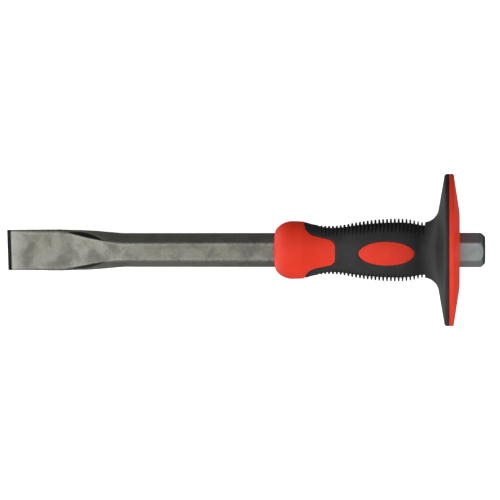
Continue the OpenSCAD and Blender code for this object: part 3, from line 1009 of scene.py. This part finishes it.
def grain_group():
    """Fine grain of a blasted or spark-eroded face: noise and the pits of a cell pattern.
    Puts out the grain's value and a normal bumped by it."""
    tree, given, end = new_group(
        "fine_grain",
        [("Vector", "Vector", None), ("Scale", "Float", 2000.0), ("Pits", "Float", 0.3),
         ("Depth", "Float", 0.0001)],
        [("Value", "Float"), ("Normal", "Vector")])
    fine = noise(tree, given, {"Detail": 3.0, "Roughness": 0.65})
    cells = new_node(tree, "ShaderNodeTexVoronoi")
    feed(tree, cells, {"Vector": given["Vector"], "Scale": times(tree, given["Scale"], 0.45)})
    pit = ease(tree, cells.outputs["Distance"], 0.05, 0.45)
    value = math_node(tree, "ADD", fine, times(tree, pit, given["Pits"]))
    bump = new_node(tree, "ShaderNodeBump")
    feed(tree, bump, {"Height": value, "Strength": 1.0, "Distance": given["Depth"]})
    feed(tree, end, {"Value": value, "Normal": bump.outputs["Normal"]})
    return tree


def edge_group():
    """Edge wear and painted highlight: the piece's edge attribute broken up by noise. Puts out the
    mask.
    """
    tree, given, end = new_group(
        "edge_wear_and_highlight",
        [("Edge", "Float", 0.0), ("Vector", "Vector", None), ("Scale", "Float", 500.0),
         ("Amount", "Float", 0.5)],
        [("Mask", "Float")])
    broken = ease(tree, noise(tree, given, {"Detail": 3.0}), 0.32, 0.62)
    wear_highlight_mask = times(tree, given["Edge"], broken)
    feed(tree, end, {"Mask": times(tree, wear_highlight_mask, given["Amount"])})
    return tree


def shared_group(name):
    """A shader group by name, built the first time it is asked for."""
    makers = {"patches": patches_group, "fine_grain": grain_group, "edge_wear_and_highlight": edge_group}
    return bpy.data.node_groups.get(name) or makers[name]()


def place_group(tree, name, values):
    """A shared group in a material's tree, with its inputs set."""
    node = new_node(tree, "ShaderNodeGroup", node_tree=shared_group(name))
    return feed(tree, node, values)


def patches(tree, place, scale, low, high):
    """Mask of the shared patches."""
    values = {"Vector": place, "Scale": scale, "Low": low, "High": high}
    return place_group(tree, "patches", values).outputs["Mask"]


def fine_grain(tree, place, scale, pits, depth):
    """Value and bumped normal of the shared grain."""
    values = {"Vector": place, "Scale": scale, "Pits": pits, "Depth": depth}
    node = place_group(tree, "fine_grain", values)
    return node.outputs["Value"], node.outputs["Normal"]


def edge_wear_and_highlight(tree, place, scale, amount):
    """Mask of the shared edge wear and painted highlight, from the mesh's own edge mask."""
    values = {"Edge": attribute(tree, "edge"), "Vector": place, "Scale": scale, "Amount": amount}
    return place_group(tree, "edge_wear_and_highlight", values).outputs["Mask"]


def start_material(name):
    """An empty node material with its shader and the Object coordinates."""
    material = bpy.data.materials.new(name)
    material.use_nodes = True
    tree = material.node_tree
    shader = tree.nodes["Principled BSDF"]
    place = new_node(tree, "ShaderNodeTexCoord").outputs["Object"]
    return material, tree, shader, place


def forged_steel(s):
    """Blasted forging: grey in darker clouds, with patches of oil film, warm spots and a fine
    pitted grain. The tip and the head are rubbed paler, the hollows and the head's chamfer get
    painted shade, the edges are rubbed bright with a painted highlight line behind the bevel, and
    the ground bevel gets a painted dark reflection."""
    b = s.bar
    material, tree, shader, place = start_material("blasted_steel")
    clouds = patches(tree, place, 78.0, 0.40, 0.62)
    value, normal = fine_grain(tree, place, 1500.0, 0.6, 0.016 * MM)
    # Edge wear on the bar's corners, plus the painted highlight line behind the bevel.
    wear_highlight_mask = edge_wear_and_highlight(tree, place, 420.0, 0.22)
    ground = attribute(tree, "ground")
    split = new_node(tree, "ShaderNodeSeparateXYZ")
    feed(tree, split, {"Vector": place})
    struck = ease(tree, split.outputs["X"], -24.0 * MM, -12.0 * MM)
    layers = ((clouds, 1.0, b.dark_steel),
              (patches(tree, place, 58.0, 0.5, 0.64), 0.55, b.green_steel),
              (patches(tree, place, 520.0, 0.42, 0.66), 0.2, b.warm_steel),
              (ease(tree, value, 0.55, 0.95), 0.45, b.pit_steel),
              (attribute(tree, "tip"), 0.5, b.worn_and_highlight_steel),
              (struck, 0.65, b.head_steel),
              # Painted shade in the hollows and on the chamfer.
              (attribute(tree, "hollow"), 0.93, b.painted_hollow_shade),
              (wear_highlight_mask, 1.0, b.worn_and_highlight_steel),
              # Painted dark reflection on the ground bevel and just past it.
              (ground, 1.0, b.painted_dark_reflection))
    steel = b.light_steel
    for mask, amount, tint in layers:
        steel = mix_colour(tree, times(tree, mask, amount), steel, tint)
    metal = math_node(tree, "ADD", times(tree, ground, 0.1), 0.9)
    rough = math_node(tree, "ADD", times(tree, clouds, 0.12), 0.40)
    for mask in (wear_highlight_mask, ground):
        rough = math_node(tree, "SUBTRACT", rough, times(tree, mask, 0.1))
    feed(tree, shader, {"Base Color": steel, "Roughness": rough, "Metallic": metal,
                        "Normal": normal})
    return material


def red_plastic(s):
    """Satin moulded plastic: faint clouding, a fine eroded texture, and paler edges painted as a
    highlight along the bevels.
    """
    found = bpy.data.materials.get("satin_red")
    if found:
        return found
    material, tree, shader, place = start_material("satin_red")
    cloud = patches(tree, place, 130.0, 0.3, 0.75)
    normal = fine_grain(tree, place, 2600.0, 0.2, 0.003 * MM)[1]
    # Painted highlight along the red parts' rounded edges.
    wear_highlight_mask = edge_wear_and_highlight(tree, place, 300.0, 0.5)
    deep = tuple(c * 0.86 for c in s.grip.red)
    base = mix_colour(tree, times(tree, cloud, 0.5), s.grip.red, deep)
    final = mix_colour(tree, wear_highlight_mask, base, s.grip.painted_highlight_red)
    rough = math_node(tree, "ADD", times(tree, cloud, 0.06), 0.42)
    feed(tree, shader, {"Base Color": final, "Roughness": rough, "Specular IOR Level": 0.3,
                        "Normal": normal})
    return material


def black_rubber(s):
    """Matt soft rubber: a fine grain and faint paler patches where it is handled."""
    material, tree, shader, place = start_material("soft_black")
    cloud = patches(tree, place, 90.0, 0.35, 0.7)
    normal = fine_grain(tree, place, 2200.0, 0.4, 0.008 * MM)[1]
    pale = tuple(c * 1.5 for c in s.grip.black)
    final = mix_colour(tree, cloud, s.grip.black, pale)
    rough = math_node(tree, "ADD", times(tree, cloud, 0.08), 0.55)
    feed(tree, shader, {"Base Color": final, "Roughness": rough, "Specular IOR Level": 0.35,
                        "Normal": normal})
    return material


# ---------------------------------------------------------------- stage


def floor_slope():
    """Slope of a floor on which the tool rests with its cutting edge and the guard's rim: the
    steepest line down from the cutting edge to any point of the pieces past the blade."""
    steepest = 0.0
    past_blade = EDGE_X + 50.0 * MM
    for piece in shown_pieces():
        co = np.zeros(len(piece.data.vertices) * 3, np.float32)
        piece.data.vertices.foreach_get("co", co)
        co = co.reshape(-1, 3).astype(float)
        far = co[co[:, 0] > past_blade]
        if len(far):
            steepest = max(steepest, float((-far[:, 2] / (far[:, 0] - EDGE_X)).max()))
    return math.atan(steepest)


def make_floor(s):
    """A pale sheet through the cutting edge and under the guard's rim."""
    size, slope = s.stage.floor_size / 2.0, floor_slope()
    mesh = bpy.data.meshes.new("floor")
    corners = np.array([[-1.0, -1.0, 0.0], [1.0, -1.0, 0.0], [1.0, 1.0, 0.0], [-1.0, 1.0, 0.0]]) * size
    turn = np.array(Matrix.Rotation(slope, 3, "Y"))
    below = s.bar.edge_land / 2.0 + 0.1 * MM
    mesh.from_pydata((corners @ turn.T + [EDGE_X, 0.0, -below]).tolist(), [], [(0, 1, 2, 3)])
    material = bpy.data.materials.new("floor")
    material.use_nodes = True
    feed(material.node_tree, material.node_tree.nodes["Principled BSDF"], {
        "Base Color": (0.8, 0.8, 0.8, 1.0), "Roughness": 0.9, "Specular IOR Level": 0.1,
        "Emission Color": WHITE, "Emission Strength": 0.8})
    mesh.materials.append(material)
    floor = bpy.data.objects.new("floor", mesh)
    bpy.context.scene.collection.objects.link(floor)
    floor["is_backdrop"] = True
    floor.visible_glossy = False
    floor.visible_diffuse = False
    return floor


def add_light(name, place, aim, size, power):
    """A square soft box at a place, turned to its aim."""
    data = bpy.data.lights.new(name, "AREA")
    data.shape = "SQUARE"
    data.size = size
    data.energy = power
    lamp = bpy.data.objects.new(name, data)
    lamp.location = place
    lamp.rotation_euler = (Vector(aim) - Vector(place)).to_track_quat("-Z", "Y").to_euler()
    bpy.context.scene.collection.objects.link(lamp)
    return lamp


def make_world(s):
    """White behind everything, and a softer light on the object. The light falls off by smooth
    steps of the way it comes from: towards +Y, a little towards -Y, from below and from behind the
    head. A little more comes from ahead of the cutting edge."""
    st = s.stage
    world = bpy.data.worlds.new("studio")
    world.use_nodes = True
    tree = world.node_tree
    tree.nodes.clear()
    split = new_node(tree, "ShaderNodeSeparateXYZ")
    feed(tree, split, {"Vector": new_node(tree, "ShaderNodeTexCoord").outputs["Generated"]})
    x, y, z = (split.outputs[axis] for axis in "XYZ")
    turned = math_node(tree, "SUBTRACT", y, times(tree, z, 0.5))
    glow = ease(tree, turned, 1.05, -0.25, st.dark_side, 1.0)
    for value, start, end, low, high in ((z, -0.1, -0.65, 1.0, st.dark_below),
                                         (x, 0.9, 0.1, st.dark_behind, 1.0),
                                         (y, -0.05, -0.9, 1.0, st.near_side)):
        glow = times(tree, glow, ease(tree, value, start, end, low, high))
    glow = math_node(tree, "ADD", glow, ease(tree, x, -0.45, -0.95, 0.0, st.bright_ahead))
    around_it, behind = (
        feed(tree, new_node(tree, "ShaderNodeBackground"), {"Color": WHITE, "Strength": strength})
        for strength in (times(tree, glow, st.ambient), BACKDROP))
    seen = new_node(tree, "ShaderNodeLightPath").outputs["Is Camera Ray"]
    both = new_node(tree, "ShaderNodeMixShader")
    feed(tree, both, {0: seen, 1: around_it.outputs[0], 2: behind.outputs[0]})
    out = new_node(tree, "ShaderNodeOutputWorld")
    feed(tree, out, {"Surface": both.outputs[0]})
    bpy.context.scene.world = world


def make_camera(s):
    """A long lens over the blade's flat, turned a little towards the head and towards +Y."""
    st = s.stage
    yaw, roll = st.view_yaw, st.view_roll
    back = Vector((math.sin(yaw), math.cos(yaw) * math.sin(roll), math.cos(yaw) * math.cos(roll)))
    up = Vector((0.0, math.cos(roll), -math.sin(roll)))
    right = up.cross(back)
    aim = Vector((EDGE_X + st.view_from_edge, 0.0, 0.0))
    data = bpy.data.cameras.new("camera")
    data.sensor_width = 36.0
    data.lens = data.sensor_width * st.view_distance / st.view_width
    data.clip_start = 0.05
    data.clip_end = 50.0
    camera = bpy.data.objects.new("camera", data)
    turn = Matrix((right, up, back)).transposed()
    camera.matrix_world = Matrix.Translation(aim + back * st.view_distance) @ turn.to_4x4()
    bpy.context.scene.collection.objects.link(camera)
    bpy.context.scene.camera = camera


# ---------------------------------------------------------------- operators


class CHISEL_OT_bar(Operator):
    """Forge the hexagonal bar with its blade and its struck head"""
    bl_idname = "chisel.make_bar"
    bl_label = "Forged bar"

    def execute(self, context):
        s = context.scene.chisel
        grid, masks = bar_grid(s)
        poles = [[EDGE_X, 0.0, 0.0], [0.0, 0.0, 0.0]]
        build_object("forged_bar", [surface_parts(grid, poles=poles)],
                     {key: with_poles(mask) for key, mask in masks.items()},
                     forged_steel(s), "root", "chisel_bar")
        return {"FINISHED"}


class CHISEL_OT_core(Operator):
    """Mould the hard core: collar, tongues and sleeve"""
    bl_idname = "chisel.make_core"
    bl_label = "Collar and sleeve"

    def execute(self, context):
        s = context.scene.chisel
        grid, edge = collar_grid(s)
        build_object("collar_and_sleeve", [surface_parts(grid, closed_rows=True)],
                     {"edge": edge}, red_plastic(s), "root", "core_sleeve")
        return {"FINISHED"}


class CHISEL_OT_inlays(Operator):
    """Mould the two oval inlays that show through the soft grip"""
    bl_idname = "chisel.make_inlays"
    bl_label = "Oval inlays"

    def execute(self, context):
        s = context.scene.chisel
        parts, edges = [], []
        for side in (1.0, -1.0):
            grid, poles, edge = inlay_grid(s, side)
            parts.append(surface_parts(grid, poles=poles))
            edges.append(with_poles(edge))
        build_object("oval_inlays", parts, {"edge": np.concatenate(edges)},
                     red_plastic(s), "root", None)
        return {"FINISHED"}


class CHISEL_OT_grip(Operator):
    """Mould the ribbed soft grip with the front half of the guard"""
    bl_idname = "chisel.make_grip"
    bl_label = "Soft grip"

    def execute(self, context):
        s = context.scene.chisel
        build_object("soft_grip", [surface_parts(grip_grid(s), closed_rows=True)], {},
                     black_rubber(s), "root", "grip_overmould")
        return {"FINISHED"}


class CHISEL_OT_backing(Operator):
    """Mould the hard rear half of the guard"""
    bl_idname = "chisel.make_backing"
    bl_label = "Guard backing"

    def execute(self, context):
        s = context.scene.chisel
        build_object("guard_back", [surface_parts(backing_grid(s), closed_rows=True)], {},
                     red_plastic(s), "root", "guard_backing")
        return {"FINISHED"}


class CHISEL_OT_stage(Operator):
    """Set the floor, the light and the camera"""
    bl_idname = "chisel.make_stage"
    bl_label = "Stage"

    def execute(self, context):
        s = context.scene.chisel
        make_floor(s)
        make_world(s)
        make_camera(s)
        middle = (EDGE_X / 2.0, 0.0, 0.0)
        add_light("key", KEY_PLACE, middle, KEY_SIZE, s.stage.key_power)
        back = add_light("back", BACK_PLACE, middle, BACK_SIZE, s.stage.back_power)
        back.visible_glossy = False
        context.scene.view_settings.view_transform = "Standard"
        return {"FINISHED"}


class CHISEL_PT_panel(Panel):
    """Builds the chisel piece by piece"""
    bl_idname = "CHISEL_PT_panel"
    bl_label = "Guarded cold chisel"
    bl_space_type = "VIEW_3D"
    bl_region_type = "UI"
    bl_category = "Chisel"

    def draw(self, context):
        settings = context.scene.chisel
        for maker in MAKERS:
            self.layout.operator(maker.bl_idname)
        for group in (settings.bar, settings.grip, settings.guard, settings.stage):
            box = self.layout.box()
            for key in group.__annotations__:
                box.prop(group, key)


MAKERS = (CHISEL_OT_bar, CHISEL_OT_core, CHISEL_OT_inlays, CHISEL_OT_grip, CHISEL_OT_backing,
          CHISEL_OT_stage)
CLASSES = (BarSettings, GripSettings, GuardSettings, StageSettings, ChiselSettings, *MAKERS,
           CHISEL_PT_panel)


def register():
    for cls in CLASSES:
        bpy.utils.register_class(cls)
    bpy.types.Scene.chisel = PointerProperty(type=ChiselSettings)


def unregister():
    del bpy.types.Scene.chisel
    for cls in reversed(CLASSES):
        bpy.utils.unregister_class(cls)


def main():
    """Builds every piece and the stage."""
    register()
    bpy.ops.chisel.make_bar()
    bpy.ops.chisel.make_core()
    bpy.ops.chisel.make_inlays()
    bpy.ops.chisel.make_grip()
    bpy.ops.chisel.make_backing()
    bpy.ops.chisel.make_stage()


if __name__ == "__main__":
    main()
